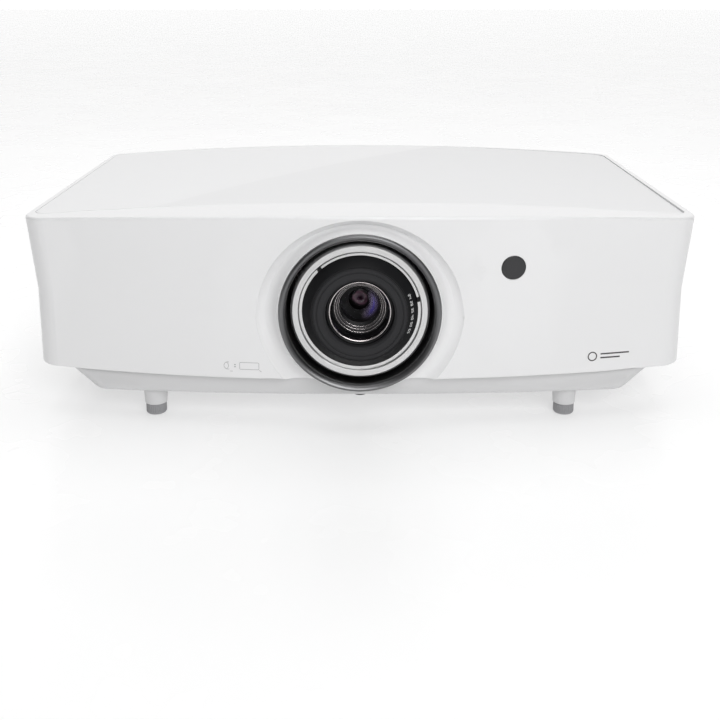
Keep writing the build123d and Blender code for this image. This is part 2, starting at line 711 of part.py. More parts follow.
def lens_barrel():
    """Barrel: rear tube, wide front body, front cone, glass cell and inner stops."""
    cone_y = -163.8
    barrel = turned_y([
        (BARREL_R, BARREL_RIM_Y), (41.2, BARREL_RIM_Y), (34.8, cone_y),
        (FOCUS_OUTER_R + 0.08, cone_y), (FOCUS_OUTER_R + 0.08, -149.8), (24.4, -149.8),
        (24.4, -158.2), (23.6, -159.0), (GLASS_R, -158.2), (GLASS_R, -149.5),
        (19.5, -149.5), (19.5, -141.0), (INNER_GLASS_R, -138.5), (INNER_GLASS_R, -130.0),
        (8.5, -129.5), (8.5, -127.0), (19.5, -124.0), (24.0, -110.0), (24.0, -62.0),
        (TUBE_R, -62.0), (TUBE_R, -106.0), (36.0, -112.0), (BARREL_R, -112.0),
    ])
    barrel += rod_y(0, -76, -72, LENS_Z, 32.5) - rod_y(0, -77, -71, LENS_Z, TUBE_R - 1)
    for start in (10.5, 130.0):
        barrel += arc_bar(41.3, 43.1, -158.8, BARREL_RIM_Y, start, start + 4.5)
    return barrel


def scale_arc():
    """Thin bright arc on the barrel rim, between its two stops."""
    return arc_bar(41.4, 43.0, -158.3, BARREL_RIM_Y, 15.0, 130.0)


def zoom_ring():
    inner = BARREL_R + RUNNING_FIT
    ring = turned_y([
        (inner, ZOOM_FRONT_Y + 0.8), (inner + 0.8, ZOOM_FRONT_Y), (ZOOM_OUTER_R - 1.6, ZOOM_FRONT_Y),
        (ZOOM_OUTER_R, ZOOM_FRONT_Y + 1.6), (ZOOM_OUTER_R, -130.0), (inner, -130.0),
    ])
    grooves = 60
    for index in range(grooves):
        angle = 2 * pi * index / grooves
        x = ZOOM_OUTER_R * cos(angle)
        z = LENS_Z + ZOOM_OUTER_R * sin(angle)
        ring -= rod_y(x, -152, -134, z, 0.7)
    return ring


def focus_ring():
    outer, inner = FOCUS_OUTER_R, FOCUS_INNER_R
    front = FRONT_Y + 0.3
    ring = turned_y([
        (outer, -150.0), (outer, front + 1.0), (outer - 1.0, front), (31.2, front),
        (30.8, front + 0.5), (30.4, front + 0.5), (30.0, front), (inner + 1.6, front),
        (inner, front + 1.6), (inner, -150.0),
    ])
    return ring


def lens_disc(radius, front_y, edge_y, back_y):
    """Glass with a domed front and a flat back."""
    rise = edge_y - front_y
    dome_radius = (radius**2 + rise**2) / (2 * rise)
    disc = rod_y(0, front_y - 1, back_y, LENS_Z, radius)
    return disc & (Pos(0, front_y + dome_radius, LENS_Z) * Sphere(dome_radius))


def front_element():
    return lens_disc(GLASS_R, -160.2, -156.6, -149.5)


def inner_element():
    return lens_disc(INNER_GLASS_R, -139.6, -136.8, -130.0)


# ================================================================ light engine
def engine_housing():
    x0, x1, y0, y1, z0, z1 = ENGINE
    wall = 3.0
    housing = block(*ENGINE)
    housing -= block(x0 + wall, x1 - wall, y0 + wall, y1 - wall, z0 + wall, z1 - wall)
    housing -= rod_y(0, y0 - 1, y0 + wall + 1, LENS_Z, 24)
    housing -= block(-21, 21, y1 - wall - 1, y1 + 1, 67, 109)
    housing -= block(x1 - wall - 1, x1 + 1, -42, 6, 62, 114)
    housing += block(-19, 19, -48, -10, z0 + wall, 69)
    for x in (x0 + 8, x1 - 8):
        for y in (y0 + 8, y1 - 8):
            housing += rod_z(x, y, FLOOR_Z, z0, 5)
    return housing


def prism():
    """Two wedges that meet on a thin air gap across the diagonal."""
    half, gap = 17.0, 0.1
    lower = make_face(Polyline((-half, -half), (half - gap, -half), (-half, half - gap), close=True))
    upper = make_face(Polyline((half, half), (half, -half + gap), (-half + gap, half), close=True))
    wedges = [extrude(face, 2 * half) for face in (lower, upper)]
    return Compound([Pos(0, -29, 69) * wedge for wedge in wedges])


def imager_board():
    board = block(-40, 40, 20, 21.6, 50, 126)
    return board + block(-15, 15, 16, 20, 74, 102)


def finned_sink(base, span, fins, fin, reach):
    """Base slab in XY from the origin with fins standing along +Z."""
    width, depth, thick = base
    sink = Pos(0, 0, thick / 2) * Box(width, depth, thick)
    pitch = (span - fin) / (fins - 1)
    for index in range(fins):
        x = -span / 2 + fin / 2 + index * pitch
        sink += Pos(x, 0, thick + reach / 2 - OVERLAP) * Box(fin, depth, reach + 2 * OVERLAP)
    return sink


def imager_heatsink():
    sink = finned_sink((56, 60, 5), 56, 12, 1.4, 30)
    return Pos(0, 21.6, LENS_Z) * Rot(-90, 0, 0) * sink


def laser_bank():
    plate = block(100, 106, -46, 10, 56, 120)
    for y in (-34, -18, -2):
        for z in (70, 88, 106):
            plate += rod_x(93, 101, y, z, 4)
    return plate


def laser_heatsink():
    sink = finned_sink((56, 72, 6), 56, 14, 1.5, 46)
    return Pos(106, WHEEL_Y, LENS_Z) * Rot(0, 90, 0) * Rot(0, 0, 90) * sink


def phosphor_wheel():
    wheel = rod_x(WHEEL_X - 0.6, WHEEL_X + 0.6, WHEEL_Y, LENS_Z, 27)
    wheel += rod_x(WHEEL_X - 2.5, WHEEL_X + 3.5, WHEEL_Y, LENS_Z, 9)
    return wheel + rod_x(WHEEL_X, WHEEL_X + 12, WHEEL_Y, LENS_Z, 1.5)


def phosphor_motor():
    motor = rod_x(WHEEL_X + 4, WHEEL_X + 18, WHEEL_Y, LENS_Z, 11)
    bracket = block(WHEEL_X + 8, WHEEL_X + 12, WHEEL_Y - 8, WHEEL_Y + 8, ENGINE[4] + 3, LENS_Z)
    motor += bracket
    return motor - rod_x(WHEEL_X, WHEEL_X + 13, WHEEL_Y, LENS_Z, 1.5 + RUNNING_FIT)


# ================================================================ cooling
def fan_frame(side):
    centre_x = side * FAN_X
    centre_z = FLOOR_Z + FAN_SIZE / 2
    half = FAN_SIZE / 2
    frame = Pos(centre_x, FAN_Y, centre_z) * Rot(0, 90, 0) * extrude(
        RectangleRounded(FAN_SIZE, FAN_SIZE, 5), FAN_THICK / 2, both=True
    )
    frame -= rod_x(centre_x - FAN_THICK, centre_x + FAN_THICK, FAN_Y, centre_z, FAN_BORE_R)
    inner_x = centre_x - side * FAN_THICK / 2
    for angle in (30, 150, 270):
        strut = Pos(0, 0, FAN_BORE_R / 2 + 5) * Box(2.4, 4, FAN_BORE_R - 4)
        frame += Pos(inner_x + side * 1.2, FAN_Y, centre_z) * Rot(angle, 0, 0) * strut
    frame += rod_x(inner_x, inner_x + side * 3, FAN_Y, centre_z, 15)
    for sy in (-1, 1):
        for sz in (-1, 1):
            frame -= rod_x(
                centre_x - 20, centre_x + 20, FAN_Y + sy * (half - 5), centre_z + sz * (half - 5), 2.2
            )
    return frame - rod_x(centre_x - 20, centre_x + 20, FAN_Y, centre_z, 1.5 + RUNNING_FIT)


def fan_frames():
    return Compound([fan_frame(side) for side in (-1, 1)])


def fan_rotor(side):
    centre_x = side * FAN_X
    centre_z = FLOOR_Z + FAN_SIZE / 2
    inner_x = centre_x - side * FAN_THICK / 2
    rotor = rod_x(inner_x + side * 3.6, inner_x + side * 22, FAN_Y, centre_z, 17)
    rotor += rod_x(inner_x + side * 0.5, inner_x + side * 5, FAN_Y, centre_z, 1.5)
    blades = 7
    for index in range(blades):
        blade = Pos(0, 0, 28) * Rot(0, 0, 38) * Box(19, 1.6, 26)
        rotor += Pos(centre_x + side * 1.2, FAN_Y, centre_z) * Rot(360 * index / blades, 0, 0) * blade
    return rotor


# ================================================================ electronics and sockets
def socket_openings():
    """Clear mouth of each socket, as x0, x1, z0, z1 on the rear."""
    floor = BOARD_Z + BOARD_THICK + 1.0
    return {
        "hdmi_1": (-92.0, -77.0, floor, floor + 5.4),
        "hdmi_2": (-68.0, -53.0, floor, floor + 5.4),
        "vga": (-40.0, -16.0, floor, floor + 9.0),
        "usb_1": (-4.0, 9.0, floor, floor + 5.6),
        "usb_2": (16.0, 29.0, floor, floor + 5.6),
        "lan": (38.0, 50.0, floor, floor + 9.0),
        "inlet": (-163.0, -138.0, 66.0, 84.0),
    }


def audio_places():
    """Centre and barrel radius of the two audio jacks."""
    return ((66.0, 4.0), (80.0, 4.0))


def button_places():
    """Centre and cap radius of each key on the rear panel."""
    return {
        "power_button": (156.0, 108.0, 6.0),
        "source_button": (136.0, 108.0, 4.5),
        "menu_button": (136.0, 56.0, 4.5),
        "back_button": (156.0, 56.0, 4.5),
        "nav_pad": (146.0, 82.0, 15.0),
        "enter_button": (146.0, 82.0, 5.6),
    }


def main_board():
    board = block(-104, 100, 66, 158, BOARD_Z, BOARD_Z + BOARD_THICK)
    for x in (-98, 94):
        for y in (72, 150):
            board += rod_z(x, y, FLOOR_Z, BOARD_Z, 3)
    for x, y, size in ((-50, 100, 34), (10, 96, 26), (60, 104, 20)):
        board += block(
            x, x + size, y, y + size, BOARD_Z + BOARD_THICK - OVERLAP, BOARD_Z + BOARD_THICK + 3
        )
    for index in range(10):
        x = -90 + index * 18
        board += rod_z(x, 82, BOARD_Z + BOARD_THICK - OVERLAP, BOARD_Z + BOARD_THICK + 9, 3)
    return board


def power_supply():
    top = 32 + BOARD_THICK
    board = block(-168, -54, -44, 60, 32, top)
    for x in (-162, -60):
        for y in (-38, 54):
            board += rod_z(x, y, FLOOR_Z, 32, 3)
    board += block(-150, -112, -30, 12, top - OVERLAP, 68)
    board += block(-150, -118, 22, 52, top - OVERLAP, 60)
    for y in (-32, -8, 16, 40):
        board += rod_z(-84, y, top - OVERLAP, 64, 9)
    return board + block(-166, -162, -30, 50, top - OVERLAP, 78)


def speakers():
    pair = []
    for side in (-1, 1):
        box = block(side * 206, side * 232, 74, 118, 44, 86)
        cone = Pos(side * 229, 96, 65) * Rot(0, side * 90, 0) * Cone(8, 17, 6.2)
        pair.append(box - cone)
    return Compound(pair)


def ac_inlet():
    x0, x1, z0, z1 = socket_openings()["inlet"]
    inlet = pocket(x0, x1, z0, z1, 15, 1.3)
    middle = (x0 + x1) / 2
    bottom = SOCKET_FACE_Y - 15.1
    for x, z in ((middle - 7, z0 + 6), (middle + 7, z0 + 6), (middle, z0 + 11)):
        inlet += block(x - 1, x + 1, bottom, bottom + 8, z - 2, z + 2)
    return inlet


def video_sockets():
    openings = socket_openings()
    sockets = [pocket(*openings[name], 9, 0.9) for name in ("hdmi_1", "hdmi_2")]
    x0, x1, z0, z1 = openings["vga"]
    vga = block(x0 - 1, x1 + 1, SOCKET_FACE_Y - 12, SOCKET_FACE_Y - 4, z0 - 1, z1 + 1)
    shell = block(x0 + 3, x1 - 3, SOCKET_FACE_Y - 5, SOCKET_FACE_Y, z0 + 0.6, z1 - 0.6)
    vga += fillet(shell.edges().filter_by(Axis.Y), 1.5)
    for row in range(3):
        for column in range(5):
            x = x0 + 7.2 + column * 2.2 + (row % 2) * 0.8
            z = z0 + 2.4 + row * 2.1
            vga -= rod_y(x, SOCKET_FACE_Y - 4, SOCKET_FACE_Y + 1, z, 0.5)
    sockets.append(vga)
    return Compound(sockets)


def data_sockets():
    openings = socket_openings()
    return Compound([pocket(*openings[name], 11, 0.9) for name in ("usb_1", "usb_2", "lan")])


def audio_jacks():
    jacks = []
    floor = BOARD_Z + BOARD_THICK
    for x, radius in audio_places():
        jack = block(x - 5, x + 5, SOCKET_FACE_Y - 15, SOCKET_FACE_Y - 4, floor, floor + 12)
        jack += rod_y(x, SOCKET_FACE_Y - 5, SOCKET_FACE_Y + 0.8, AUDIO_Z, radius)
        jacks.append(jack - rod_y(x, SOCKET_FACE_Y - 12, SOCKET_FACE_Y + 2, AUDIO_Z, 1.75))
    return Compound(jacks)


def round_key(name):
    """Round key with a flange that stops behind the panel."""
    x, z, radius = button_places()[name]
    cap = rod_y(x, KEY_STOP_Y - 2, KEY_FACE_Y, z, radius)
    cap = fillet(cap.edges().group_by(Axis.Y)[-1], 0.7)
    return cap + rod_y(x, KEY_STOP_Y - 1.6, KEY_STOP_Y, z, radius + 1.2)


def nav_pad():
    """Ring key with four pips, open in the middle for the enter key."""
    x, z, radius = button_places()["nav_pad"]
    pad = round_key("nav_pad")
    for angle in range(0, 360, 90):
        px = x + 10.5 * cos(radians(angle))
        pz = z + 10.5 * sin(radians(angle))
        pad += rod_y(px, KEY_FACE_Y - 0.5, KEY_FACE_Y + 0.3, pz, 0.9)
    return pad - rod_y(x, KEY_STOP_Y - 4, KEY_FACE_Y + 1, z, button_places()["enter_button"][2] + 0.4)


def enter_button():
    x, z, radius = button_places()["enter_button"]
    cap = rod_y(x, KEY_STOP_Y - 4, KEY_FACE_Y + 0.2, z, radius)
    return fillet(cap.edges().group_by(Axis.Y)[-1], 0.7)


# ================================================================ writing the nodes
def all_nodes():
    nodes = {
        "upper_case": upper_case(),
        "top_panel": top_panel(),
        "bottom_case": bottom_case(),
        "case_screws": case_screws(),
        "mount_inserts": mount_inserts(),
        "front_boss": front_boss(),
        "rear_panel": rear_panel(),
        "socket_frames": socket_frames(),
        "side_vents": side_vents(),
        "foot_sleeves": foot_sleeves(),
        "ir_window": ir_window(),
        "status_lights": status_lights(),
        "lens_trim_ring": lens_trim_ring(),
        "lens_mount_plate": lens_mount_plate(),
        "shift_rods_x": shift_rods_x(),
        "lens_slide_x": lens_slide_x(),
        "shift_rods_z": shift_rods_z(),
        "lens_slide_z": lens_slide_z(),
        "leadscrew_x": leadscrew_x(),
        "leadscrew_z": leadscrew_z(),
        "shift_motor_x": shift_motor_x(),
        "shift_motor_z": shift_motor_z(),
        "lens_barrel": lens_barrel(),
        "scale_arc": scale_arc(),
        "zoom_ring": zoom_ring(),
        "focus_ring": focus_ring(),
        "front_element": front_element(),
        "inner_element": inner_element(),
        "engine_housing": engine_housing(),
        "prism": prism(),
        "imager_board": imager_board(),
        "imager_heatsink": imager_heatsink(),
        "laser_bank": laser_bank(),
        "laser_heatsink": laser_heatsink(),
        "phosphor_wheel": phosphor_wheel(),
        "phosphor_motor": phosphor_motor(),
        "main_board": main_board(),
        "power_supply": power_supply(),
        "speakers": speakers(),
        "fan_frames": fan_frames(),
        "ac_inlet": ac_inlet(),
        "video_sockets": video_sockets(),
        "data_sockets": data_sockets(),
        "audio_jacks": audio_jacks(),
        "nav_pad": nav_pad(),
        "enter_button": enter_button(),
    }
    for name in ("power_button", "source_button", "menu_button", "back_button"):
        nodes[name] = round_key(name)
    for name, side in (("left", -1), ("right", 1)):
        nodes[f"fan_rotor_{name}"] = fan_rotor(side)
    for name, (x, y) in feet_places().items():
        nodes[f"foot_stud_{name}"] = foot_stud(x, y)
        nodes[f"foot_tip_{name}"] = foot_tip(x, y)
    return nodes


os.makedirs("parts", exist_ok=True)
for node_name, shape in all_nodes().items():
    export_step(Pos(0, 0, -GROUND_Z) * shape, f"parts/{node_name}.step")
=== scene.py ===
import json
import math
import bpy
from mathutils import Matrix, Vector
from mathutils.bvhtree import BVHTree


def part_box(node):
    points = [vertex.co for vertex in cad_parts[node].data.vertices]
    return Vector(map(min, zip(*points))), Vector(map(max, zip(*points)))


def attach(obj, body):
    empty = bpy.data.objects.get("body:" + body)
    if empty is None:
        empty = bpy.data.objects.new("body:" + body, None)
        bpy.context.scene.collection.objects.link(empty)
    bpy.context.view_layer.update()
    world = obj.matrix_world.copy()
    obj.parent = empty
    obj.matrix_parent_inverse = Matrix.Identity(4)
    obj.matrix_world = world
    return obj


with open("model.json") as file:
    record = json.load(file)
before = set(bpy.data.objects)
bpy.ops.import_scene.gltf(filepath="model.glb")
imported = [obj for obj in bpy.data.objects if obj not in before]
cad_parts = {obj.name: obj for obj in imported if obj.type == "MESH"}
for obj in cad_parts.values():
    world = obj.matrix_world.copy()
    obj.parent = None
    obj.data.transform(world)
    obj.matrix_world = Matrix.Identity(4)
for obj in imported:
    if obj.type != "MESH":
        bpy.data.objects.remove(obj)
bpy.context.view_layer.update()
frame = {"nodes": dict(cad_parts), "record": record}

MM = 0.001
NODES = frame["nodes"]
CASE = "case"
LENS_BODY = "lens_lift_carriage"


# ---------------------------------------------------------------- places read from the frame
GLASS_LOW, GLASS_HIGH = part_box("front_element")
LENS_X = (GLASS_LOW.x + GLASS_HIGH.x) / 2
LENS_Z = (GLASS_LOW.z + GLASS_HIGH.z) / 2
BARREL_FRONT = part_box("lens_barrel")[0].y
INNER_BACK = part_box("inner_element")[1].y


def surface_tree(node):
    """Ray-casting tree of a CAD node."""
    mesh = NODES[node].data
    points = [vertex.co.copy() for vertex in mesh.vertices]
    faces = [tuple(face.vertices) for face in mesh.polygons]
    return BVHTree.FromPolygons(points, faces)


FRONT_TREE = surface_tree("upper_case")


def front_point(x, z, lift=0.0):
    """Point on the front face at x, z, lifted off it, with the face's normal."""
    hit, normal, _, _ = FRONT_TREE.ray_cast(Vector((x, -1.0, z)), Vector((0, 1, 0)))
    if normal.y > 0:
        normal = -normal
    return hit + normal * lift, normal


# ---------------------------------------------------------------- materials
class Nodes:
    """Short way to write a shader node tree."""

    def __init__(self, name):
        self.material = bpy.data.materials.new(name)
        self.material.use_nodes = True
        self.tree = self.material.node_tree
        self.shader = self.tree.nodes["Principled BSDF"]

    def add(self, kind, inputs=None, **settings):
        node = self.tree.nodes.new(kind)
        for key, value in settings.items():
            setattr(node, key, value)
        for key, value in (inputs or {}).items():
            if isinstance(value, bpy.types.NodeSocket):
                self.tree.links.new(value, node.inputs[key])
            else:
                node.inputs[key].default_value = value
        return node

    def link(self, source, target):
        self.tree.links.new(source, target)

    def position(self):
        return self.add("ShaderNodeTexCoord").outputs["Object"]

    def noise(self, scale, detail=3.0, roughness=0.5, vector=None):
        vector = vector or self.position()
        inputs = {"Vector": vector, "Scale": scale, "Detail": detail, "Roughness": roughness}
        return self.add("ShaderNodeTexNoise", inputs).outputs["Fac"]

    def ramp(self, value, *stops):
        node = self.add("ShaderNodeValToRGB", {"Fac": value})
        band = node.color_ramp
        while len(band.elements) < len(stops):
            band.elements.new(0.5)
        for element, (place, colour) in zip(band.elements, stops):
            element.position = place
            element.color = (*colour, 1.0)
        return node.outputs["Color"]

    def mix(self, factor, first, second):
        """Blend of two colours, each a socket or three numbers."""
        node = self.add("ShaderNodeMix", data_type="RGBA")
        for index, value in ((0, factor), (6, first), (7, second)):
            if isinstance(value, bpy.types.NodeSocket):
                self.tree.links.new(value, node.inputs[index])
            else:
                node.inputs[index].default_value = (*value, 1.0)
        return node.outputs[2]

    def sum(self, operation, *values):
        """Math node with numbers or sockets as its values."""
        return self.add("ShaderNodeMath", dict(enumerate(values)), operation=operation).outputs[0]

    def about_lens(self):
        """Radius about the lens axis, the two offsets from it, and Y."""
        parts = self.add("ShaderNodeSeparateXYZ", {"Vector": self.position()})
        side = self.sum("SUBTRACT", parts.outputs["X"], LENS_X)
        rise = self.sum("SUBTRACT", parts.outputs["Z"], LENS_Z)
        square = self.sum("MULTIPLY", side, side)
        radius = self.sum("SQRT", self.sum("MULTIPLY_ADD", rise, rise, square))
        return radius, side, rise, parts.outputs["Y"]

    def spread(self, value, low, high):
        node = self.add("ShaderNodeMapRange", {"Value": value, "To Min": low, "To Max": high})
        return node.outputs["Result"]

    def spread_from(self, value, low, high):
        """0 at low, 1 at high, clamped; low may be the larger."""
        node = self.add("ShaderNodeMapRange", {"Value": value, "From Min": low, "From Max": high})
        return node.outputs["Result"]

    def bump(self, height, distance, strength=1.0):
        inputs = {"Height": height, "Distance": distance, "Strength": strength}
        return self.add("ShaderNodeBump", inputs).outputs["Normal"]


BLACK_STOP = (0.0, 0.0, 0.0)
WHITE_STOP = (1.0, 1.0, 1.0)


def shade(colour, factor):
    return tuple(min(1.0, channel * factor) for channel in colour)


def moulded(name, colour, rough, grain=2600.0, depth=0.00002, mottle=0.02, coat=0.0, wear=1.04):
    """Injection-moulded plastic: fine spark-eroded grain, faint mottling, rubbed edges."""
    n = Nodes(name)
    fine = n.noise(grain, 2.0)
    broad = n.noise(9.0, 4.0, 0.6)
    base = n.ramp(broad, (0.3, shade(colour, 1 - mottle)), (0.7, shade(colour, 1 + mottle)))
    edge = n.add("ShaderNodeNewGeometry").outputs["Pointiness"]
    rubbed = n.ramp(edge, (0.5, (0, 0, 0)), (0.56, (1, 1, 1)))
    n.link(n.mix(rubbed, base, shade(colour, wear)), n.shader.inputs["Base Color"])
    n.link(n.spread(n.noise(60.0, 5.0, 0.65), rough - 0.04, rough + 0.04), n.shader.inputs["Roughness"])
    n.link(n.bump(fine, depth, 0.6), n.shader.inputs["Normal"])
    n.shader.inputs["Coat Weight"].default_value = coat
    n.shader.inputs["Coat Roughness"].default_value = 0.12
    n.shader.inputs["IOR"].default_value = 1.5
    return n.material


def turned_metal(name, colour, rough, rings=900.0, depth=0.000004, metallic=1.0):
    """Metal turned about the lens axis: fine concentric tool marks and a little haze."""
    n = Nodes(name)
    radius, _, _, depth_y = n.about_lens()
    along = n.add("ShaderNodeCombineXYZ", {"X": radius, "Y": depth_y}).outputs[0]
    marks = n.noise(rings, 1.0, 0.5, along)
    haze = n.noise(35.0, 4.0, 0.6)
    base = n.ramp(haze, (0.3, shade(colour, 0.94)), (0.72, shade(colour, 1.05)))
    n.link(base, n.shader.inputs["Base Color"])
    n.link(n.spread(haze, rough - 0.05, rough + 0.06), n.shader.inputs["Roughness"])
    n.link(n.bump(marks, depth, 0.5), n.shader.inputs["Normal"])
    n.shader.inputs["Metallic"].default_value = metallic
    n.shader.inputs["Specular IOR Level"].default_value = 0.15
    return n.material


def plain_metal(name, colour, rough, stretch=(40.0, 900.0, 900.0), depth=0.00002):
    """Brushed or cast metal: grain stretched along one direction."""
    n = Nodes(name)
    mapping = n.add("ShaderNodeMapping", {"Vector": n.position(), "Scale": stretch})
    grain = n.noise(1.0, 3.0, 0.6, mapping.outputs["Vector"])
    haze = n.noise(30.0, 4.0, 0.6)
    base = n.ramp(haze, (0.3, shade(colour, 0.9)), (0.75, shade(colour, 1.08)))
    n.link(base, n.shader.inputs["Base Color"])
    n.link(n.spread(grain, rough - 0.07, rough + 0.09), n.shader.inputs["Roughness"])
    n.link(n.bump(grain, depth, 0.5), n.shader.inputs["Normal"])
    n.shader.inputs["Metallic"].default_value = 1.0
    return n.material


def coated_glass(name, tint, share):
    """Lens glass: clear but for its tinted coating, whose reflection grows towards the edge."""
    n = Nodes(name)
    smear = n.noise(25.0, 4.0, 0.6)
    n.link(n.ramp(smear, (0.3, shade(tint, 0.9)), (0.7, tint)), n.shader.inputs["Base Color"])
    n.link(n.spread(smear, 0.01, 0.05), n.shader.inputs["Roughness"])
    n.shader.inputs["Metallic"].default_value = 1.0
    facing = n.add("ShaderNodeLayerWeight", {"Blend": 0.15}).outputs["Fresnel"]
    n.link(n.sum("MULTIPLY", facing, share), n.shader.inputs["Alpha"])
    return n.material


def glass_with_painted_reflection(name):
    """Deep element: clear, but for a painted reflection on one side, a violet-blue crescent lighter towards
    the top, painted into its colour where the glass is made opaque.
    """
    n = Nodes(name)
    radius, side, rise, _ = n.about_lens()
    reach = n.spread_from(radius, 0.0065, 0.0145)
    band = n.ramp(reach, (0.0, BLACK_STOP), (0.45, WHITE_STOP), (1.0, BLACK_STOP))
    turn = n.sum("ARCTAN2", rise, side)
    near = n.sum("ABSOLUTE", n.sum("ADD", turn, 0.25))
    sector = n.ramp(n.spread_from(near, 1.25, 0.35), (0.0, BLACK_STOP), (1.0, WHITE_STOP))
    # painted reflection: a crescent band on one side, opaque where it is painted
    painted_reflection_mask = n.sum("MULTIPLY", band, sector)
    height = n.spread_from(rise, -0.008, 0.010)
    # painted reflection colour: dark violet-blue at the bottom, lighter towards the top
    blue = n.ramp(height, (0.0, (0.03, 0.02, 0.32)), (1.0, (0.3, 0.24, 0.62)))
    n.link(n.mix(painted_reflection_mask, (0.3, 0.24, 0.3), blue), n.shader.inputs["Base Color"])
    n.link(n.sum("MULTIPLY", painted_reflection_mask, 0.7), n.shader.inputs["Alpha"])
    n.link(n.spread(n.noise(90.0, 3.0, 0.5), 0.15, 0.25), n.shader.inputs["Roughness"])
    return n.material


def pupil_painted_reflection(name):
    """Rearmost element that shows: painted reflection, a pinkish ring round a dark middle, painted into its
    colour.
    """
    n = Nodes(name)
    radius, _, _, _ = n.about_lens()
    blotch = n.noise(160.0, 1.0, 0.4)
    reach = n.sum("MULTIPLY_ADD", n.sum("SUBTRACT", blotch, 0.5), 0.005, radius)
    # painted reflection: dark middle, pinkish ring, dark rim
    colour = n.ramp(
        n.spread_from(reach, 0.0, 0.0095),
        (0.0, (0.006, 0.003, 0.005)), (0.25, (0.05, 0.02, 0.04)), (0.45, (0.12, 0.06, 0.09)),
        (0.6, (0.02, 0.015, 0.018)), (0.75, (0.004, 0.004, 0.004)), (1.0, (0.004, 0.004, 0.004)),
    )
    n.link(colour, n.shader.inputs["Base Color"])
    n.link(n.spread(blotch, 0.06, 0.14), n.shader.inputs["Roughness"])
    n.link(n.bump(blotch, 0.000002, 0.2), n.shader.inputs["Normal"])
    return n.material


def board_finish(name):
    """Circuit board: green lacquer over copper tracks, darker islands."""
    n = Nodes(name)
    inputs = {"Vector": n.position(), "Scale": 260.0}
    cells = n.add("ShaderNodeTexVoronoi", inputs, feature="DISTANCE_TO_EDGE")
    tracks = n.ramp(cells.outputs["Distance"], (0.03, (0.09, 0.3, 0.16)), (0.08, (0.03, 0.15, 0.08)))
    n.link(tracks, n.shader.inputs["Base Color"])
    n.link(n.spread(n.noise(120.0), 0.3, 0.45), n.shader.inputs["Roughness"])
    n.link(n.bump(cells.outputs["Distance"], 0.0001, 0.4), n.shader.inputs["Normal"])
    return n.material


WHITE = moulded("white_plastic", (0.78, 0.78, 0.785), 0.3, coat=0.25, mottle=0.006, wear=1.03)
LID_WHITE = moulded("lid_white_plastic", (0.775, 0.775, 0.78), 0.3, depth=0.000008, mottle=0.006, wear=1.03)
# Satin copy of the lid white for the right of the crease: rougher, and a shade darker as painted shade.
SHADED_LID_SATIN = moulded("lid_satin_painted_shade", (0.77, 0.77, 0.775), 0.4, mottle=0.006, wear=1.03)
# Grey copy of the case white for the lower tub: the same white plastic, darkened as painted shade for its
# downward-facing faces.
SHADED_BASE_WHITE = moulded("base_plastic_painted_shade", (0.62, 0.62, 0.625), 0.42, grain=1500.0, depth=0.00004, mottle=0.01)
FOOT_GREY = moulded("foot_rubber", (0.3, 0.3, 0.31), 0.6, grain=1800.0, depth=0.00005, mottle=0.06)
REAR_GREY = moulded("rear_plastic", (0.42, 0.425, 0.44), 0.5, grain=1400.0, depth=0.00006, mottle=0.02)
VENT_GREY = moulded("vent_plastic", (0.66, 0.66, 0.67), 0.48, grain=1500.0, depth=0.00005, mottle=0.015)
BLACK = moulded(
    "black_plastic", (0.012, 0.012, 0.013), 0.45, grain=1800.0, depth=0.00004, mottle=0.1, wear=2.2,
)
KEY_GREY = moulded("key_plastic", (0.12, 0.125, 0.135), 0.42, grain=1600.0, depth=0.00003, mottle=0.04)
JACK_BLACK = moulded("jack_plastic", (0.03, 0.03, 0.033), 0.35, mottle=0.08, wear=1.6)
WINDOW = moulded("infrared_window", (0.018, 0.018, 0.02), 0.3, grain=3200.0, depth=0.000006, mottle=0.08)
PIPE = moulded("light_pipe", (0.6, 0.63, 0.66), 0.2, mottle=0.03, coat=0.4)
INK = moulded("grey_ink", (0.3, 0.3, 0.31), 0.5, mottle=0.05)
DARK_INK = moulded("dark_ink", (0.06, 0.055, 0.055), 0.45, mottle=0.08)
SCALE_INK = moulded("white_ink", (0.75, 0.75, 0.75), 0.5, mottle=0.03)
DARK_CHROME = turned_metal("dark_chrome", (0.17, 0.17, 0.174), 0.36)
BRIGHT = turned_metal("bright_aluminium", (0.68, 0.68, 0.68), 0.42)
BARREL = turned_metal("barrel_enamel", (0.01, 0.01, 0.011), 0.42, metallic=0.0)
FOCUS = turned_metal("focus_enamel", (0.028, 0.028, 0.03), 0.6, metallic=0.0)
INNER_RING = turned_metal("inner_ring_enamel", (0.05, 0.048, 0.05), 0.4, metallic=0.3)
POLISHED = turned_metal("polished_ring", (0.62, 0.58, 0.58), 0.22)
STEEL = plain_metal("steel", (0.55, 0.55, 0.56), 0.32)
BRASS = plain_metal("brass", (0.66, 0.47, 0.2), 0.34)
CAST = plain_metal("cast_metal", (0.42, 0.42, 0.43), 0.5, stretch=(700.0, 700.0, 700.0), depth=0.00006)
MOTOR = plain_metal("motor_metal", (0.46, 0.46, 0.47), 0.34, stretch=(900.0, 60.0, 60.0))
FIN = plain_metal("fin_metal", (0.6, 0.6, 0.61), 0.38, stretch=(60.0, 900.0, 60.0))
SOCKET = plain_metal("socket_metal", (0.6, 0.6, 0.61), 0.28, stretch=(60.0, 60.0, 900.0))
GLASS = coated_glass("front_glass", (0.75, 0.68, 0.85), 0.06)
# inner glass carries a painted reflection
DEEP_GLASS = glass_with_painted_reflection("inner_glass")
# rear element carries a painted reflection
PUPIL = pupil_painted_reflection("rear_glass")
BOARD = board_finish("circuit_board")

